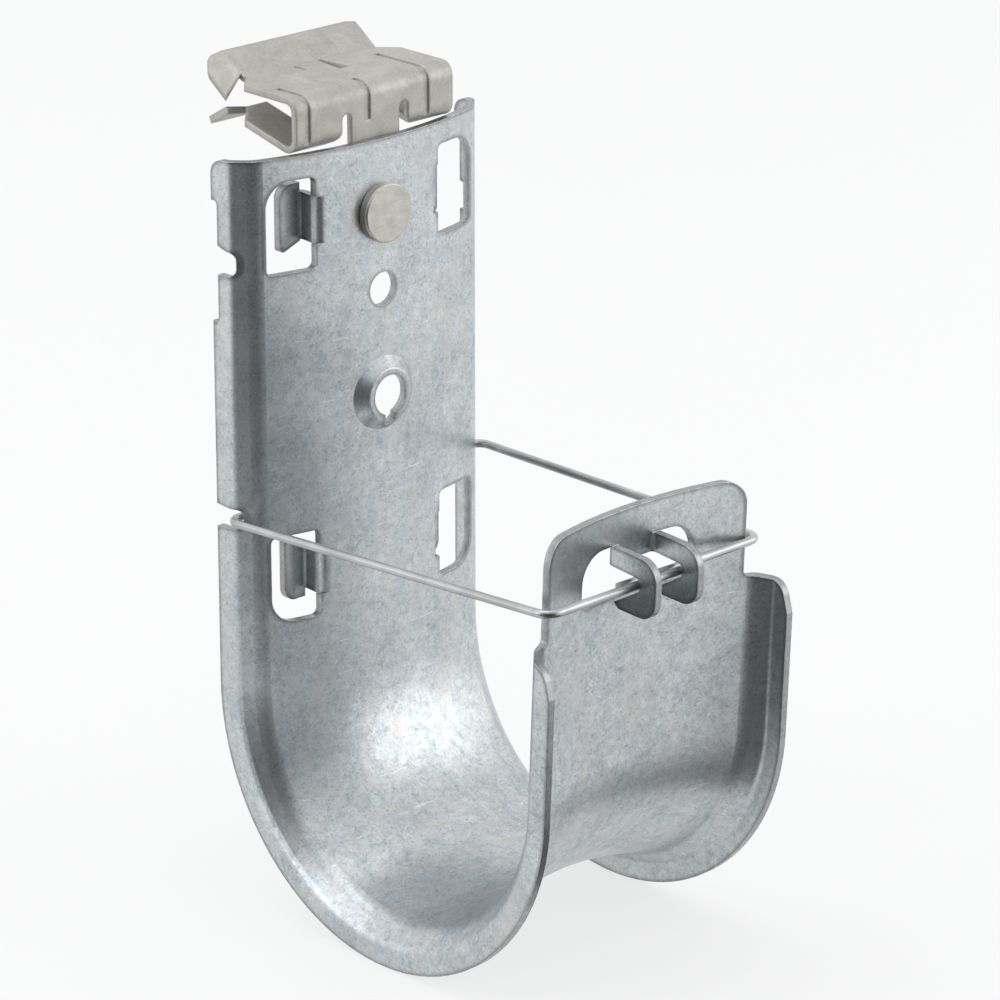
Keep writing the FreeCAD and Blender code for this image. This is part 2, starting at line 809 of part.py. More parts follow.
ear_top = cell("ear_window_top")
ear_window = cell("ear_window_width") / 2
window_view = new_sketch(hook, "XZ_Plane", "EarWindowView", turn=lean)
draw_chain(window_view, [
    (-ear_window, cell("ear_window_bottom"), cell("ear_window_foot")),
    (ear_window, cell("ear_window_bottom"), cell("ear_window_foot")),
    (ear_window, ear_top, cell("ear_window_corner")),
    (-ear_window, ear_top, cell("ear_window_corner")),
])
pocket(hook, window_view, "EarWindow", through_front, back=True)

ear_out = cell("ear_span") / 2
ear_in = ear_out - sheet_gauge
ear_bend = cell("ear_bend")
ear_root = leg_face + ear_bend + sheet_gauge / 2
strap_low = cell("ear_strap_bottom")
strap_view = new_sketch(hook, "XY_Plane", "EarStrapView",
                        turn=half_turn - lean, axis=(-1, 0, 0),
                        lift=strap_low * cosine(lean), base=-(strap_low * sine(lean)))
draw_chain(strap_view, [
    (-ear_out, ear_root),
    (-ear_out, loop_radius, ear_bend + sheet_gauge),
    (ear_out, loop_radius, ear_bend + sheet_gauge),
    (ear_out, ear_root),
    (ear_in, ear_root),
    (ear_in, leg_face, ear_bend),
    (-ear_in, leg_face, ear_bend),
    (-ear_in, ear_root),
])
pad(hook, strap_view, "EarStrap", ear_top - strap_low, back=True)

ear_view = new_sketch(hook, "YZ_Plane", "EarView", turn=lean, axis=(0, 0, 1), lift=ear_in)
slot_round = cell("ear_slot_corner")
draw_chain(ear_view, [
    (forward(ear_bend), ear_top),
    (forward(cell("ear_reach")), ear_top, cell("ear_top_corner")),
    (forward(cell("ear_reach")), cell("ear_bottom"), cell("ear_foot_corner")),
    (forward(cell("ear_tip_reach") + 1), cell("ear_bottom"), cell("ear_tip_corner")),
    (forward(cell("ear_tip_reach")), cell("ear_tip_height")),
    (forward(slot_end), cell("ear_slot_floor"), slot_round),
    (forward(slot_end), cell("ear_slot_roof"), slot_round),
    (forward(ear_bend), strap_low),
])
ear = pad(hook, ear_view, "Ear", sheet_gauge)
mirror(hook, [ear], "Ears", True)

# Wire retainer: one bent wire that swings in the back leg's notches

retainer = new_body("wire_retainer")
wire_bend = cell("wire_bend")
rear_bar = front_bar - wire - cell("wire_tip_gap")
wire_tip = cell("wire_tip_reach")
back_arm = half_width + wire / 2 + cell("wire_side_gap")
front_arm = neck + wire / 2 + cell("wire_neck_gap")
wire_path = new_sketch(retainer, "XY_Plane", "WirePath",
                       turn=tilt, axis=(-1, 0, 0), base=pivot_y, lift=pivot_z)
draw_chain(wire_path, [
    (wire_tip, -front_bar),
    (-front_arm, -front_bar, wire_bend),
    (-back_arm, 0, wire_bend),
    (back_arm, 0, wire_bend),
    (front_arm, -rear_bar, wire_bend),
    (-wire_tip, -rear_bar),
], closed=False)
wire_end = new_sketch(retainer, "YZ_Plane", "WireSection", lift=wire_tip)
draw_circle(wire_end, pivot_y - front_bar * cosine(tilt),
            pivot_z + front_bar * sine(tilt), wire)
wire_sweep = retainer.newObject("PartDesign::AdditivePipe", "Wire")
wire_sweep.Profile = (wire_end, [""])
wire_sweep.Spine = (wire_path, [""])
settle(retainer, wire_sweep, True)

# Rivet through the back leg and the clip's stem

clip_gauge = cell("clip_sheet")
rivet = new_body("rivet")
head = cell("rivet_head_diameter") / 2
head_edge = cell("rivet_head_edge")
head_face = loop_radius - cell("rivet_head_height")
shank = cell("rivet_shank_diameter") / 2
tail = cell("rivet_tail_diameter") / 2
tail_edge = cell("rivet_tail_edge")
tail_seat = clip_front + clip_gauge
tail_face = tail_seat + cell("rivet_tail_height")
rivet_view = new_sketch(rivet, "YZ_Plane", "RivetView", base=rivet_z)
draw_chain(rivet_view, [
    (head_face, 0),
    (tail_face, 0),
    (tail_face, tail - tail_edge),
    (tail_face - tail_edge, tail),
    (tail_seat, tail),
    (tail_seat, shank),
    (loop_radius, shank),
    (loop_radius, head),
    (head_face + head_edge, head),
    (head_face, head - head_edge),
])
spin(rivet, rivet_view, "RivetTurned", "H_Axis", full_turn)

# Flange clip: front wall, top plate and lower jaws from one strip

clip = new_body("flange_clip")
clip_half = cell("clip_width") / 2
clip_top = plate_top + cell("clip_rise")
clip_inner = cell("clip_bend")
clip_outer = clip_inner + clip_gauge
jaw_angle = cell("lower_jaw_angle")
jaw_slope = tangent(jaw_angle)
jaw_thick = clip_gauge / cosine(jaw_angle)
bend_sink = clip_outer * (jaw_slope + as_size(1) / cosine(jaw_angle) - 1)
clip_low = plate_top + cell("clip_gap") - bend_sink
jaw_root = clip_front + cell("jaw_depth")
jaw_low = clip_low + (jaw_root - clip_front) * jaw_slope
clip_view = new_sketch(clip, "YZ_Plane", "ClipView")
draw_chain(clip_view, [
    (jaw_root, clip_top),
    (clip_front, clip_top, clip_outer),
    (clip_front, clip_low, clip_outer),
    (jaw_root, jaw_low),
    (jaw_root, jaw_low + jaw_thick),
    (clip_front + clip_gauge, clip_low + clip_gauge * jaw_slope + jaw_thick, clip_inner),
    (clip_front + clip_gauge, clip_top - clip_gauge, clip_inner),
    (jaw_root, clip_top - clip_gauge),
])
pad(clip, clip_view, "ClipBody", cell("clip_width"), both=True)

tooth_width = cell("tooth_width")
relief_view = new_sketch(clip, "XY_Plane", "JawReliefView")
draw_chain(relief_view, [
    (clip_half, jaw_root - tooth_width),
    (clip_half + 1, jaw_root - tooth_width),
    (clip_half + 1, jaw_root + 1),
    (clip_half - tooth_width, jaw_root + 1),
    (clip_half - tooth_width, jaw_root),
])
jaw_cut = pocket(clip, relief_view, "JawRelief", clip_top + 1, back=True)
mirror(clip, [jaw_cut], "JawReliefs", False)

slot_outer = stem + cell("stem_slot")
slot_top = plate_top + cell("stem_slot_rise")
slot_cap = cell("stem_slot") * 0.49
wing = slot_outer + cell("wing_step")
wing_round = cell("wing_step") * 0.95
foot = plate_top + cell("wing_foot_rise")
stub = foot + clip_outer
slot_view = new_sketch(clip, "XZ_Plane", "StemSlotView", lift=1 - clip_front)
draw_chain(slot_view, [
    (-wing, clip_low - 1),
    (wing, clip_low - 1),
    (wing, foot),
    (slot_outer, foot, wing_round),
    (slot_outer, slot_top, slot_cap),
    (stem, slot_top, slot_cap),
    (stem, stub),
    (-stem, stub),
    (-stem, slot_top, slot_cap),
    (-slot_outer, slot_top, slot_cap),
    (-slot_outer, foot, wing_round),
    (-wing, foot),
])
pocket(clip, slot_view, "StemSlots", clip_outer + 1)
gap_view = new_sketch(clip, "XY_Plane", "JawGapView", lift=clip_low - 1)
draw_chain(gap_view, [
    (-wing, clip_front + clip_gauge),
    (wing, clip_front + clip_gauge),
    (wing, jaw_root + 1),
    (-wing, jaw_root + 1),
])
pocket(clip, gap_view, "JawGap", clip_top - clip_gauge * 2 - clip_low + 1, back=True)

stem_view = new_sketch(clip, "XZ_Plane", "StemView", lift=-clip_front)
stem_round = cell("stem_corner")
stem_bottom = rivet_z - cell("stem_tail")
draw_chain(stem_view, [
    (-stem, stem_bottom, stem_round),
    (stem, stem_bottom, stem_round),
    (stem, stub),
    (-stem, stub),
])
pad(clip, stem_view, "Stem", clip_gauge, back=True)
stem_hole_view = new_sketch(clip, "XZ_Plane", "StemHoleView", lift=-clip_front)
draw_circle(stem_hole_view, 0, rivet_z, rivet_hole)
pocket(clip, stem_hole_view, "StemHole", clip_gauge + 1)

# Jaw lips: the upper one kicks up, the lower ones fall, and the ends are teeth

tooth_start = clip_half - tooth_width
lip_run = cell("upper_lip_run")
lip_rise = cell("upper_lip_rise")
lip_root = jaw_root + cell("upper_lip_lag")
lip_reach = lip_root + lip_run
lip_length = root(lip_rise * lip_rise + lip_run * lip_run)
lip_back = clip_gauge * lip_rise / lip_length
lip_down = clip_gauge * lip_run / lip_length
lip_miter = clip_gauge * (lip_length - lip_run) / lip_rise
lip_bend = cell("upper_lip_bend")
lap = clip_gauge * 2
lip_view = new_sketch(clip, "YZ_Plane", "UpperLipView")
draw_chain(lip_view, [
    (jaw_root - lap, clip_top),
    (lip_root, clip_top, lip_bend),
    (lip_reach, clip_top + lip_rise),
    (lip_reach + lip_back, clip_top + lip_rise - lip_down),
    (lip_root + lip_miter, clip_top - clip_gauge, lip_bend + clip_gauge),
    (jaw_root - lap, clip_top - clip_gauge),
])
pad(clip, lip_view, "UpperLip", tooth_start * 2, both=True)

half_gap = cell("grip_gap") / 2
tooth_fall = cell("upper_tooth_fall")
tooth_lag = cell("upper_tooth_lag")
root_y = lip_root + tooth_lag
root_z = clip_top - clip_gauge + (tooth_lag - lip_miter) * lip_rise / lip_run
upper_root = new_sketch(clip, "YZ_Plane", "UpperToothRoot", lift=tooth_start)
draw_chain(upper_root, [
    (root_y, root_z),
    (lip_reach + lip_back, clip_top + lip_rise - lip_down),
    (lip_reach, clip_top + lip_rise),
    (root_y - lip_back, root_z + lip_down),
])
split = cell("upper_tooth_split")
tip_z = grip_z + half_gap
front_y = root_y + (grip_y - root_y) * split
front_z = root_z + (tip_z - root_z) * split
held_fall = tooth_fall * cell("upper_tooth_hold")
upper_fold = new_sketch(clip, "YZ_Plane", "UpperToothFold", lift=tooth_start + tooth_width * split)
draw_chain(upper_fold, [
    (front_y, front_z),
    (lip_reach + lip_back, clip_top + lip_rise - lip_down - held_fall),
    (lip_reach, clip_top + lip_rise - held_fall),
    (front_y - lip_back, front_z + lip_down),
])
upper_end = new_sketch(clip, "YZ_Plane", "UpperToothEnd", lift=clip_half)
draw_chain(upper_end, [
    (grip_y, tip_z),
    (lip_reach + lip_back, clip_top + lip_rise - lip_down - tooth_fall),
    (lip_reach, clip_top + lip_rise - tooth_fall),
    (grip_y - lip_back, tip_z + lip_down),
])
upper_tooth = loft(clip, upper_root, [upper_fold, upper_end], "UpperTooth")

lower_reach = jaw_root + cell("lower_lip_run")
lower_tip = jaw_low + jaw_thick - cell("lower_lip_drop")
lower_view = new_sketch(clip, "YZ_Plane", "LowerLipView", lift=wing)
draw_chain(lower_view, [
    (jaw_root, jaw_low),
    (lower_reach - clip_gauge / 2, lower_tip - clip_gauge),
    (lower_reach, lower_tip),
    (jaw_root, jaw_low + jaw_thick),
])
lower_lip = pad(clip, lower_view, "LowerLip", tooth_start - wing)
lower_root = new_sketch(clip, "YZ_Plane", "LowerToothRoot", lift=tooth_start)
draw_chain(lower_root, [
    (jaw_root, jaw_low),
    (lower_reach - clip_gauge / 2, lower_tip - clip_gauge),
    (lower_reach, lower_tip),
    (jaw_root, jaw_low + jaw_thick),
])
lower_end = new_sketch(clip, "YZ_Plane", "LowerToothEnd", lift=clip_half)
draw_chain(lower_end, [
    (grip_y - clip_gauge / 2, grip_z - half_gap - clip_gauge),
    (lower_reach - clip_gauge / 2, lower_tip - clip_gauge),
    (lower_reach, lower_tip),
    (grip_y, grip_z - half_gap),
])
lower_tooth = loft(clip, lower_root, [lower_end], "LowerTooth")
lip_corner = cell("lip_corner")
lip_end = lip_reach + lip_back
lip_corner_view = new_sketch(clip, "XY_Plane", "LipCornerView", lift=grip_z)
draw_chain(lip_corner_view, [
    (clip_half - lip_corner - 1, lip_end),
    (clip_half, lip_end, lip_corner),
    (clip_half, lip_end - lip_corner - 1),
    (clip_half + 1, lip_end - lip_corner - 1),
    (clip_half + 1, lip_end + 1),
    (clip_half - lip_corner - 1, lip_end + 1),
])
lip_rounded = pocket(clip, lip_corner_view, "LipCorner", clip_top, back=True)
mirror(clip, [upper_tooth, lower_lip, lower_tooth, lip_rounded], "OtherEnd", True)

# Stiffening creases pressed over the clip's front bend

crease = cell("crease_depth")
crease_bend = clip_outer - crease


def press_crease(name, across, foot_height, reach):
    """A shallow groove up the front wall, over the bend and along the top."""
    view = new_sketch(clip, "YZ_Plane", name + "View", lift=across)
    end = clip_front + clip_outer + reach
    draw_chain(view, [
        (clip_front - 1, foot_height),
        (clip_front + crease, foot_height),
        (clip_front + crease, clip_top - crease, crease_bend),
        (end, clip_top - crease),
        (end, clip_top + 1),
        (clip_front - 1, clip_top + 1),
    ])
    pocket(clip, view, name, cell("crease_width"), both=True)


crease_reach = cell("crease_reach")
crease_offset = cell("crease_offset")
crease_spacing = cell("crease_spacing")
press_crease("LeftCrease", -(crease_spacing + crease_offset), clip_low, crease_reach)
press_crease("MiddleCrease", -crease_offset, clip_low + cell("crease_foot_rise"), crease_reach / 4)
press_crease("RightCrease", crease_spacing - crease_offset, clip_low, crease_reach * 2)

# Nick and barb of the clip's top plate

nick_across = cell("nick_across")
nick = cell("nick_width") / 2
nick_end = clip_front + cell("nick_depth")
nick_view = new_sketch(clip, "XY_Plane", "NickView", lift=grip_z)
draw_chain(nick_view, [
    (-nick_across - nick, nick_end),
    (-nick_across + nick, nick_end),
    (-nick_across + nick, nick_end + cell("nick_length")),
    (-nick_across - nick, nick_end + cell("nick_length")),
])
pocket(clip, nick_view, "Nick", clip_top, back=True)

barb = cell("barb_width") / 2
barb_across = cell("barb_across")
barb_front = clip_front + cell("barb_depth")
barb_tip = cell("barb_tip") / 2
barb_view = new_sketch(clip, "XY_Plane", "BarbWindowView", lift=grip_z)
draw_chain(barb_view, [
    (barb_across - barb, barb_front),
    (barb_across + barb, barb_front),
    (barb_across + barb_tip, barb_front + cell("barb_length")),
    (barb_across - barb_tip, barb_front + cell("barb_length")),
])
pocket(clip, barb_view, "BarbWindow", clip_top, back=True)
tongue_view = new_sketch(clip, "XZ_Plane", "BarbView", lift=-barb_front)
barb_root = clip_top - clip_gauge / 2
draw_chain(tongue_view, [
    (barb_across - barb, barb_root),
    (barb_across + barb, barb_root),
    (barb_across + barb_tip, barb_root - clip_gauge / 2 - cell("barb_drop")),
    (barb_across - barb_tip, barb_root - clip_gauge / 2 - cell("barb_drop")),
])
pad(clip, tongue_view, "Barb", clip_gauge)

# Checks and files

bodies = [hook, retainer, rivet, clip]
for body in bodies:
    body.Tip.Refine = True
doc.recompute()
os.makedirs("parts", exist_ok=True)
for item in doc.Objects:
    if "Invalid" in item.State or "Error" in item.State:
        raise RuntimeError("%s failed" % item.Name)
    if item.TypeId == "Sketcher::SketchObject" and not item.FullyConstrained:
        raise RuntimeError("%s is not fully constrained" % item.Name)
for body in bodies:
    if body.Shape.isNull() or not body.Shape.isValid():
        raise RuntimeError("%s has no valid shape" % body.Label)
    if len(body.Shape.Solids) != 1:
        raise RuntimeError("%s is %d solids" % (body.Label, len(body.Shape.Solids)))
for body in bodies:
    body.Shape.exportStep("parts/%s.step" % body.Label)
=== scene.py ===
import math

import bmesh
import bpy
from mathutils import Matrix, Vector


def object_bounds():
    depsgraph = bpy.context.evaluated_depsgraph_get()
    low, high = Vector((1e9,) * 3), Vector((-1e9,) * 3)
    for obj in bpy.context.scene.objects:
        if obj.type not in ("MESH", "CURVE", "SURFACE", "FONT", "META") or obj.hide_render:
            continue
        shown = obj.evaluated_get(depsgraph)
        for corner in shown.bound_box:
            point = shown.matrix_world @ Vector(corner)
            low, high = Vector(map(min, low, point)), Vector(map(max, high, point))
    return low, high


# The looks of a steel cable support: a galvanised hook, a bright wire retainer, a plated
# spring clip and its rivet. Lengths are metres and +Z is up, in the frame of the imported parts.

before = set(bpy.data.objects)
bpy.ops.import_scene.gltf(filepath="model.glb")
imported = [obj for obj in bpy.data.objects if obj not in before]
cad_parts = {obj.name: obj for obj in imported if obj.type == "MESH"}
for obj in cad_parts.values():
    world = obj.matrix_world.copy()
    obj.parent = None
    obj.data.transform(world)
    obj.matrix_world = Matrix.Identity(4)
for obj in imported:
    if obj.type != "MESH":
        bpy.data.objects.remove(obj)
cad_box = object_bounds()

# The camera, as it stood when the object was photographed

LOOP_AXIS = Vector((0.0, -0.042492, -0.0872))
VIEW_AZIMUTH = -43.571
VIEW_ELEVATION = 20.171
VIEW_DISTANCE = 0.738768
VIEW_LENS = 180.659
SENSOR_WIDTH = 36.0
NEAREST_SEEN = 0.01
FARTHEST_SEEN = 20.0
AIM_HEIGHT = 0.040
AIM_ACROSS = -0.000082
AIM_UP = -0.007304


def view_axes(azimuth, elevation):
    """Right, up and backwards of a camera that looks from this direction."""
    a = math.radians(azimuth)
    e = math.radians(elevation)
    right = Vector((math.cos(a), math.sin(a), 0.0))
    up = Vector((-math.sin(a) * math.sin(e), math.cos(a) * math.sin(e), math.cos(e)))
    return right, up, right.cross(up)


def set_camera():
    """Stand the camera where the photograph was taken from."""
    right, up, back = view_axes(VIEW_AZIMUTH, VIEW_ELEVATION)
    aim = LOOP_AXIS + Vector((0.0, 0.0, AIM_HEIGHT))
    place = aim + right * AIM_ACROSS + up * AIM_UP + back * VIEW_DISTANCE
    lens = bpy.data.cameras.new("view")
    lens.lens = VIEW_LENS
    lens.sensor_width = SENSOR_WIDTH
    lens.clip_start = NEAREST_SEEN
    lens.clip_end = FARTHEST_SEEN
    camera = bpy.data.objects.new("view", lens)
    turn = Matrix((right, up, back)).transposed().to_4x4()
    camera.matrix_world = Matrix.Translation(place) @ turn
    bpy.context.scene.collection.objects.link(camera)
    bpy.context.scene.camera = camera


set_camera()
bpy.context.scene.view_settings.view_transform = "Standard"

# Where edges with wear and painted highlight, sheared faces and corners with painted shade begin and are
# complete

EDGE_SAMPLES = 6
EDGE_PLAIN = 0.995
EDGE_HIGHLIT_WORN = 0.88
SHEAR_SAMPLES = 8
SHEAR_NONE = 0.80
SHEAR_FULL = 0.62
NOOK_SAMPLES = 4
NOOK_UNSHADED = 0.78
NOOK_SHADED = 0.40


class Finish:
    """A material under construction around one surface shader."""

    def __init__(self, name):
        self.material = bpy.data.materials.new(name)
        self.material.use_nodes = True
        self.tree = self.material.node_tree
        self.tree.nodes.clear()
        self.output = self.add("ShaderNodeOutputMaterial")
        self.shader = self.add("ShaderNodeBsdfPrincipled")
        self.join(self.shader.outputs["BSDF"], self.output.inputs["Surface"])
        self.place = self.add("ShaderNodeTexCoord").outputs["Object"]

    def add(self, kind, **settings):
        """Put in a node with these settings."""
        node = self.tree.nodes.new(kind)
        for key, value in settings.items():
            setattr(node, key, value)
        return node

    def join(self, source, target):
        """Lead one node's output into another's input."""
        self.tree.links.new(source, target)

    def stretched(self, scale, turn=(0.0, 0.0, 0.0)):
        """Object coordinates, turned in degrees and scaled along each axis."""
        mapping = self.add("ShaderNodeMapping")
        mapping.inputs["Rotation"].default_value = [math.radians(t) for t in turn]
        mapping.inputs["Scale"].default_value = scale
        self.join(self.place, mapping.inputs["Vector"])
        return mapping.outputs["Vector"]

    def noise(self, scale, detail, roughness, distortion=0.0, place=None):
        """Cloudy noise on object coordinates, or on those of another place."""
        node = self.add("ShaderNodeTexNoise")
        self.join(place or self.place, node.inputs["Vector"])
        node.inputs["Scale"].default_value = scale
        node.inputs["Detail"].default_value = detail
        node.inputs["Roughness"].default_value = roughness
        node.inputs["Distortion"].default_value = distortion
        return node.outputs["Fac"]

    def cells(self, scale):
        """A random grey for each small cell."""
        node = self.add("ShaderNodeTexVoronoi")
        self.join(self.place, node.inputs["Vector"])
        node.inputs["Scale"].default_value = scale
        grey = self.add("ShaderNodeSeparateColor")
        self.join(node.outputs["Color"], grey.inputs["Color"])
        return grey.outputs["Red"]

    def spread(self, value, low, high, out_low=0.0, out_high=1.0):
        """Map one range of a value to another, held at both ends."""
        node = self.add("ShaderNodeMapRange")
        self.join(value, node.inputs["Value"])
        node.inputs["From Min"].default_value = low
        node.inputs["From Max"].default_value = high
        node.inputs["To Min"].default_value = out_low
        node.inputs["To Max"].default_value = out_high
        return node.outputs["Result"]

    def reckon(self, operation, first, second):
        """Work on a node's value with a plain number or another node's value."""
        node = self.add("ShaderNodeMath", operation=operation)
        self.join(first, node.inputs[0])
        if isinstance(second, float):
            node.inputs[1].default_value = second
        else:
            self.join(second, node.inputs[1])
        return node.outputs["Value"]

    def weighed(self, *parts):
        """The sum of several values, each times its weight."""
        shares = [self.reckon("MULTIPLY", value, weight) for value, weight in parts]
        total = shares[0]
        for share in shares[1:]:
            total = self.reckon("ADD", total, share)
        return total

    def blend(self, factor, first, second):
        """Mix two colours, each a plain colour or another node's."""
        node = self.add("ShaderNodeMix", data_type="RGBA")
        self.join(factor, node.inputs["Factor"])
        colours = [socket for socket in node.inputs if socket.type == "RGBA"]
        for socket, value in zip(colours, (first, second)):
            if isinstance(value, tuple):
                socket.default_value = (*value, 1.0)
            else:
                self.join(value, socket)
        return [socket for socket in node.outputs if socket.type == "RGBA"][0]

    def paint(self, colour, mask, strength, coat):
        """Lay a coat over a colour where the mask says, at this strength."""
        return self.blend(self.reckon("MULTIPLY", mask, strength), colour, coat)

    def rounded(self, radius):
        """The way the surface faces, as if its edges were rounded."""
        bevel = self.add("ShaderNodeBevel", samples=EDGE_SAMPLES)
        bevel.inputs["Radius"].default_value = radius
        return bevel.outputs["Normal"]

    def highlit_worn_edges(self, rounded):
        """Sharp edges, where the rounded surface faces another way than the true one: the mask of painted
        highlight and wear along edges.
        """
        true = self.add("ShaderNodeNewGeometry")
        dot = self.add("ShaderNodeVectorMath", operation="DOT_PRODUCT")
        self.join(rounded, dot.inputs[0])
        self.join(true.outputs["Normal"], dot.inputs[1])
        return self.spread(dot.outputs["Value"], EDGE_PLAIN, EDGE_HIGHLIT_WORN)

    def openness(self, reach, samples, inside=False):
        """How far the piece leaves a point open, in the air or inside its own metal."""
        node = self.add("ShaderNodeAmbientOcclusion", samples=samples, inside=inside, only_local=True)
        node.inputs["Distance"].default_value = reach
        return node.outputs["AO"]

    def cut_faces(self, depth):
        """The sheared faces of a sheet, where little metal lies to either side."""
        return self.spread(self.openness(depth, SHEAR_SAMPLES, inside=True), SHEAR_NONE, SHEAR_FULL)

    def nook_shade(self, reach):
        """Painted shade: corners and hollows darkened as far as the piece closes them in."""
        return self.spread(self.openness(reach, NOOK_SAMPLES), NOOK_UNSHADED, NOOK_SHADED)

    def dent(self, height, strength, distance, normal=None):
        """Fine relief, over the rounded surface where one is given."""
        node = self.add("ShaderNodeBump")
        node.inputs["Strength"].default_value = strength
        node.inputs["Distance"].default_value = distance
        self.join(height, node.inputs["Height"])
        if normal is not None:
            self.join(normal, node.inputs["Normal"])
        self.join(node.outputs["Normal"], self.shader.inputs["Normal"])

    def close(self, colour, roughness, metallic):
        """Complete the metal and hand its material over."""
        self.join(colour, self.shader.inputs["Base Color"])
        self.join(roughness, self.shader.inputs["Roughness"])
        self.shader.inputs["Metallic"].default_value = metallic
        return self.material


# Colours of the metals

ZINC_DARK = (0.33, 0.37, 0.39)
ZINC_LIGHT = (0.65, 0.68, 0.69)
ZINC_WARM_STREAK = (0.60, 0.555, 0.51)
ZINC_BLUE_BLOOM = (0.45, 0.51, 0.555)
ZINC_CRYSTAL = (0.70, 0.73, 0.75)
ZINC_PIT = (0.19, 0.21, 0.23)
ZINC_SCUFF = (0.86, 0.88, 0.89)
ZINC_NOOK_SHADE = (0.15, 0.16, 0.165)
ZINC_EDGE_HIGHLIGHT = (0.86, 0.87, 0.88)
SHEARED_STEEL = (0.15, 0.145, 0.14)
WIRE_DULL = (0.42, 0.42, 0.42)
WIRE_BRIGHT = (0.56, 0.56, 0.565)
CLIP_DARK = (0.40, 0.388, 0.36)
CLIP_LIGHT = (0.54, 0.525, 0.495)
CLIP_PIT = (0.22, 0.21, 0.195)
CLIP_NOOK_SHADE = (0.16, 0.155, 0.145)
CLIP_EDGE_HIGHLIGHT = (0.66, 0.64, 0.62)
RIVET_DARK = (0.46, 0.435, 0.40)
RIVET_LIGHT = (0.60, 0.575, 0.54)
RIVET_EDGE_HIGHLIGHT = (0.72, 0.70, 0.66)

# Edge radii, the reach of painted shade into corners and hollows, and a depth just under the hook's 1.2 mm
# sheet

HOOK_EDGE_RADIUS = 0.00013
HOOK_NOOK_REACH = 0.004
HOOK_SHEAR_DEPTH = 0.00113
CLIP_EDGE_RADIUS = 0.00015
CLIP_SOFT_RADIUS = 0.0007
CLIP_NOOK_REACH = 0.0014
RIVET_EDGE_RADIUS = 0.0002


def galvanised_steel():
    """Zinc dipped strip: cloudy grey with fine dark and light flecks."""
    f = Finish("galvanised_steel")
    clouds = f.noise(scale=150.0, detail=3.0, roughness=0.55)
    patches = f.noise(scale=700.0, detail=6.0, roughness=0.75, distortion=0.15)
    flecks = f.noise(scale=2700.0, detail=3.0, roughness=0.7)
    crystals = f.cells(scale=1700.0)
    bloom = f.noise(scale=330.0, detail=3.0, roughness=0.55)
    down_the_strip = f.stretched(scale=(420.0, 420.0, 60.0))
    streaks = f.noise(scale=1.0, detail=3.0, roughness=0.55, place=down_the_strip)
    along_scuffs = f.stretched(scale=(90.0, 900.0, 3200.0), turn=(12.0, 38.0, 0.0))
    scuffs = f.noise(scale=1.0, detail=2.0, roughness=0.5, place=along_scuffs)

    tone = f.weighed((clouds, 0.24), (patches, 0.42), (flecks, 0.34))
    colour = f.blend(f.spread(tone, 0.40, 0.60), ZINC_DARK, ZINC_LIGHT)
    colour = f.paint(colour, f.spread(streaks, 0.48, 0.66), 0.50, ZINC_WARM_STREAK)
    colour = f.paint(colour, f.spread(bloom, 0.50, 0.66), 0.40, ZINC_BLUE_BLOOM)
    colour = f.paint(colour, crystals, 0.25, ZINC_CRYSTAL)
    colour = f.paint(colour, f.spread(flecks, 0.40, 0.30), 0.60, ZINC_PIT)
    colour = f.paint(colour, f.spread(scuffs, 0.69, 0.76), 0.60, ZINC_SCUFF)
    # Painted shade: darker where the hook's own corners and hollows close a point in
    colour = f.paint(colour, f.nook_shade(HOOK_NOOK_REACH), 0.55, ZINC_NOOK_SHADE)
    colour = f.paint(colour, f.cut_faces(HOOK_SHEAR_DEPTH), 0.62, SHEARED_STEEL)

    rounded = f.rounded(HOOK_EDGE_RADIUS)
    highlit_wear = f.highlit_worn_edges(rounded)
    edge_highlight_and_wear = f.reckon("MULTIPLY", highlit_wear, f.spread(patches, 0.46, 0.60, 0.35, 0.95))
    # Painted highlight with wear along the hook's sharp edges
    colour = f.blend(edge_highlight_and_wear, colour, ZINC_EDGE_HIGHLIGHT)
    roughness = f.spread(patches, 0.3, 0.7, 0.42, 0.30)
    roughness = f.reckon("SUBTRACT", roughness, f.reckon("MULTIPLY", highlit_wear, 0.06))
    relief = f.weighed((patches, 0.6), (flecks, 0.4))
    f.dent(relief, strength=0.24, distance=0.00012, normal=rounded)
    return f.close(colour, roughness, metallic=0.94)


def bright_wire():
    """Drawn steel wire: satin, with faint dull lengths."""
    f = Finish("bright_drawn_wire")
    dull = f.noise(scale=160.0, detail=2.0, roughness=0.5)
    lines = f.noise(scale=3200.0, detail=2.0, roughness=0.5)
    colour = f.blend(f.spread(dull, 0.35, 0.68), WIRE_DULL, WIRE_BRIGHT)
    roughness = f.spread(lines, 0.3, 0.7, 0.31, 0.38)
    f.dent(lines, strength=0.05, distance=0.00002)
    return f.close(colour, roughness, metallic=1.0)


def plated_spring_steel():
    """Mechanically plated spring steel: warm satin grey, with painted shade in its corners and creases."""
    f = Finish("plated_spring_steel")
    clouds = f.noise(scale=210.0, detail=4.0, roughness=0.6, distortion=0.7)
    grain = f.noise(scale=2100.0, detail=4.0, roughness=0.75)
    highlit_wear = f.highlit_worn_edges(f.rounded(CLIP_EDGE_RADIUS))
    tone = f.weighed((clouds, 0.55), (grain, 0.45))
    colour = f.blend(f.spread(tone, 0.34, 0.66), CLIP_DARK, CLIP_LIGHT)
    colour = f.paint(colour, f.spread(grain, 0.38, 0.28), 0.50, CLIP_PIT)
    # Painted shade in the clip's creases and corners
    colour = f.paint(colour, f.nook_shade(CLIP_NOOK_REACH), 0.32, CLIP_NOOK_SHADE)
    # Painted highlight with wear along the clip's sharp edges
    colour = f.paint(colour, highlit_wear, 0.30, CLIP_EDGE_HIGHLIGHT)
    roughness = f.spread(tone, 0.35, 0.65, 0.62, 0.50)
    f.dent(grain, strength=0.25, distance=0.0001, normal=f.rounded(CLIP_SOFT_RADIUS))
    return f.close(colour, roughness, metallic=0.85)


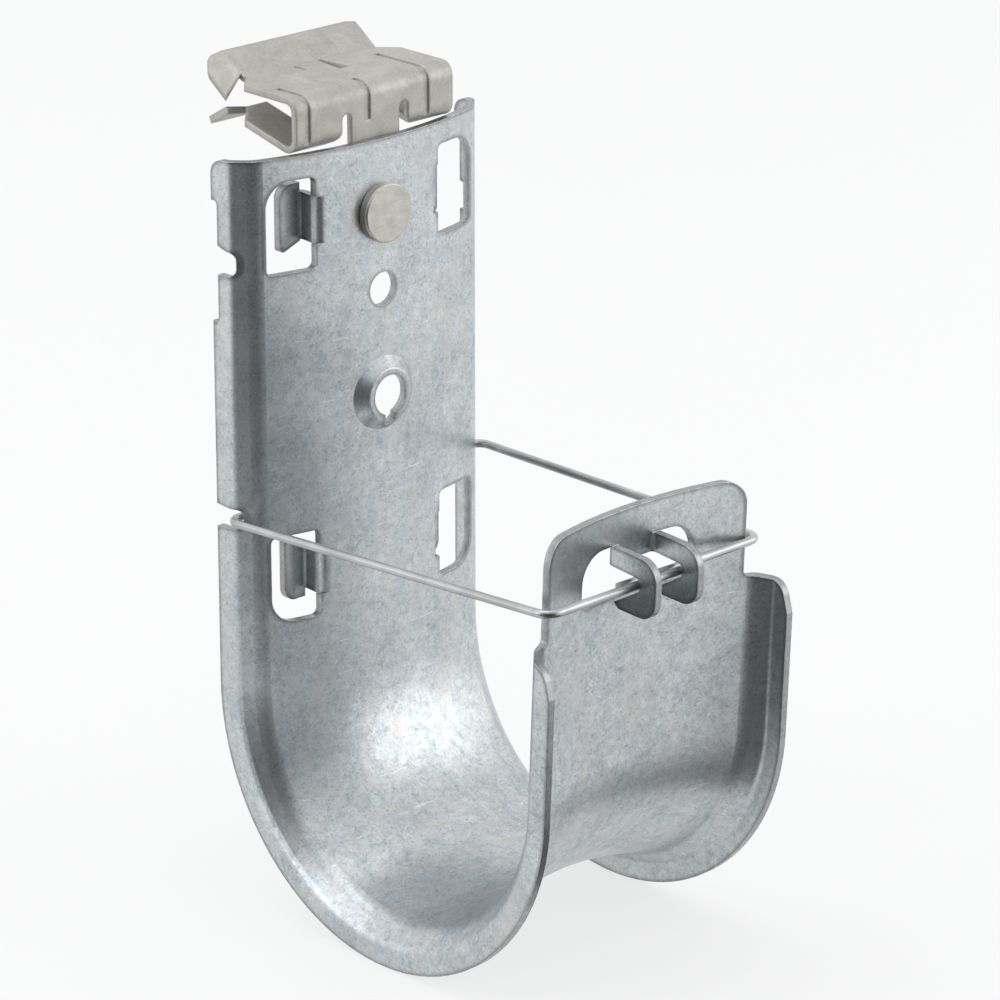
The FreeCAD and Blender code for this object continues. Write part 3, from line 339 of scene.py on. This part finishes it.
def brushed_rivet_steel():
    """Cold headed rivet: faintly brushed across its face, slightly warm."""
    f = Finish("brushed_rivet_steel")
    along_strokes = f.stretched(scale=(420.0, 420.0, 3600.0), turn=(0.0, 8.0, 0.0))
    strokes = f.noise(scale=1.0, detail=3.0, roughness=0.5, place=along_strokes)
    dull = f.noise(scale=420.0, detail=4.0, roughness=0.6)
    rounded = f.rounded(RIVET_EDGE_RADIUS)
    tone = f.weighed((strokes, 0.30), (dull, 0.70))
    colour = f.blend(f.spread(tone, 0.36, 0.66), RIVET_DARK, RIVET_LIGHT)
    # Painted highlight with wear along the rivet's sharp edges
    colour = f.paint(colour, f.highlit_worn_edges(rounded), 0.30, RIVET_EDGE_HIGHLIGHT)
    roughness = f.spread(strokes, 0.3, 0.7, 0.40, 0.32)
    f.dent(strokes, strength=0.06, distance=0.00005, normal=rounded)
    return f.close(colour, roughness, metallic=1.0)


FINISHES = {
    "j_hook": galvanised_steel(),
    "wire_retainer": bright_wire(),
    "flange_clip": plated_spring_steel(),
    "rivet": brushed_rivet_steel(),
}
for name, finish in FINISHES.items():
    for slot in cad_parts[name].material_slots:
        slot.material = finish

# The studio's floor, boards and surround

WHITE = (1.0, 1.0, 1.0, 1.0)
FULL_WHITE = 1.0
ROOM_LIGHT = (0.97, 0.985, 1.0, 1.0)
ROOM_STRENGTH = 0.75
PAPER_DARK = (0.88, 0.88, 0.88)
PAPER_LIGHT = (0.90, 0.90, 0.90)
PAPER_GLOW = 0.72
MATT = 0.9
FLOOR_SIZE = (6.0, 6.0)
UPWARDS = Vector((0.0, 0.0, 1.0))
SIDE_BOARD_AWAY = 0.15
SIDE_BOARD_DROP = 0.01
SIDE_BOARD_SIZE = (0.26, 0.24)
SIDE_BOARD_GREY = 0.07
TABLE_BOARD_LEFT = 0.045
TABLE_BOARD_AWAY = 0.078
TABLE_BOARD_LIFT = 0.001
TABLE_BOARD_SIZE = (0.16, 0.15)
TABLE_BOARD_GREY = 0.09

floor_height = cad_box[0].z
middle = (cad_box[0] + cad_box[1]) / 2


def card(name, centre, size, finish, normal=UPWARDS):
    """A flat sheet of the studio."""
    facing = normal.to_track_quat("Z", "Y")
    placed = Matrix.LocRotScale(Vector(centre), facing, Vector((*size, 1.0)))
    work = bmesh.new()
    bmesh.ops.create_grid(work, x_segments=1, y_segments=1, size=0.5, matrix=placed)
    mesh = bpy.data.meshes.new(name)
    work.to_mesh(mesh)
    work.free()
    mesh.materials.append(finish)
    sheet = bpy.data.objects.new(name, mesh)
    bpy.context.scene.collection.objects.link(sheet)
    return sheet


def seen_directly(tree):
    """One for what the camera, metal or glass sees, nought for light on other things."""
    path = tree.nodes.new("ShaderNodeLightPath")
    seen = path.outputs["Is Camera Ray"]
    for kind in ("Is Glossy Ray", "Is Transmission Ray"):
        either = tree.nodes.new("ShaderNodeMath")
        either.operation = "MAXIMUM"
        tree.links.new(seen, either.inputs[0])
        tree.links.new(path.outputs[kind], either.inputs[1])
        seen = either.outputs["Value"]
    return seen


def shared_out(tree, share, first, second):
    """The first shader, with a share of the second in its place."""
    mix = tree.nodes.new("ShaderNodeMixShader")
    tree.links.new(share, mix.inputs["Fac"])
    tree.links.new(first, mix.inputs[1])
    tree.links.new(second, mix.inputs[2])
    return mix.outputs["Shader"]


def white_paper():
    """Matt white paper that keeps a soft shadow."""
    f = Finish("white_floor_paper")
    mottle = f.noise(scale=6.0, detail=3.0, roughness=0.5)
    colour = f.blend(f.spread(mottle, 0.3, 0.7), PAPER_DARK, PAPER_LIGHT)
    f.join(colour, f.shader.inputs["Base Color"])
    f.shader.inputs["Roughness"].default_value = MATT
    glow = f.add("ShaderNodeEmission")
    glow.inputs["Color"].default_value = WHITE
    glow.inputs["Strength"].default_value = FULL_WHITE
    share = f.reckon("MULTIPLY", seen_directly(f.tree), PAPER_GLOW)
    paper = shared_out(f.tree, share, f.shader.outputs["BSDF"], glow.outputs["Emission"])
    f.join(paper, f.output.inputs["Surface"])
    return f.material


def dark_board(name, centre, size, grey, normal):
    """A dark board that only the metal's reflections see."""
    f = Finish(name)
    f.shader.inputs["Base Color"].default_value = (grey, grey, grey, 1.0)
    f.shader.inputs["Roughness"].default_value = MATT
    board = card(name, centre, size, f.material, normal)
    board.visible_camera = False
    board.visible_diffuse = False
    board.visible_shadow = False


def background(tree, colour, strength):
    """A surround of one plain colour."""
    node = tree.nodes.new("ShaderNodeBackground")
    node.inputs["Color"].default_value = colour
    node.inputs["Strength"].default_value = strength
    return node.outputs["Background"]


def white_room():
    """A white surround: full white where it is seen, softer as a light."""
    world = bpy.data.worlds.new("white_room")
    bpy.context.scene.world = world
    world.use_nodes = True
    tree = world.node_tree
    tree.nodes.clear()
    output = tree.nodes.new("ShaderNodeOutputWorld")
    felt = background(tree, ROOM_LIGHT, ROOM_STRENGTH)
    seen = background(tree, WHITE, FULL_WHITE)
    room = shared_out(tree, seen_directly(tree), felt, seen)
    tree.links.new(room, output.inputs["Surface"])


card("floor", (0.0, 0.0, floor_height), FLOOR_SIZE, white_paper())
white_room()

# One board stands upright towards the camera, the other lies on the floor before the loop

towards_camera = view_axes(VIEW_AZIMUTH, 0.0)[2]
side_place = middle + towards_camera * SIDE_BOARD_AWAY - UPWARDS * SIDE_BOARD_DROP
dark_board("camera_side_board", side_place, SIDE_BOARD_SIZE, SIDE_BOARD_GREY, -towards_camera)
table_place = Vector((-TABLE_BOARD_LEFT, cad_box[0].y - TABLE_BOARD_AWAY, floor_height + TABLE_BOARD_LIFT))
dark_board("camera_table_board", table_place, TABLE_BOARD_SIZE, TABLE_BOARD_GREY, UPWARDS)

# The lamps


def softbox(name, direction, distance, size, power, colour=(1.0, 1.0, 1.0)):
    """A rectangular lamp that faces the middle of the object."""
    lamp = bpy.data.lights.new(name, "AREA")
    lamp.shape = "RECTANGLE"
    lamp.size, lamp.size_y = size
    lamp.energy = power
    lamp.color = colour
    stand = bpy.data.objects.new(name, lamp)
    towards = Vector(direction).normalized()
    stand.location = middle + towards * distance
    stand.rotation_mode = "QUATERNION"
    stand.rotation_quaternion = (-towards).to_track_quat("-Z", "Y")
    bpy.context.scene.collection.objects.link(stand)


softbox("key_softbox", (0.70, -0.62, 0.30), distance=0.9, size=(0.72, 0.56), power=1.65)
softbox("left_softbox", (-0.9, 0.35, 0.45), distance=1.0, size=(0.6, 0.8), power=1.9,
        colour=(0.90, 0.92, 1.0))
softbox("top_softbox", (-0.1, 0.25, 1.0), distance=1.0, size=(0.8, 0.8), power=2.0)
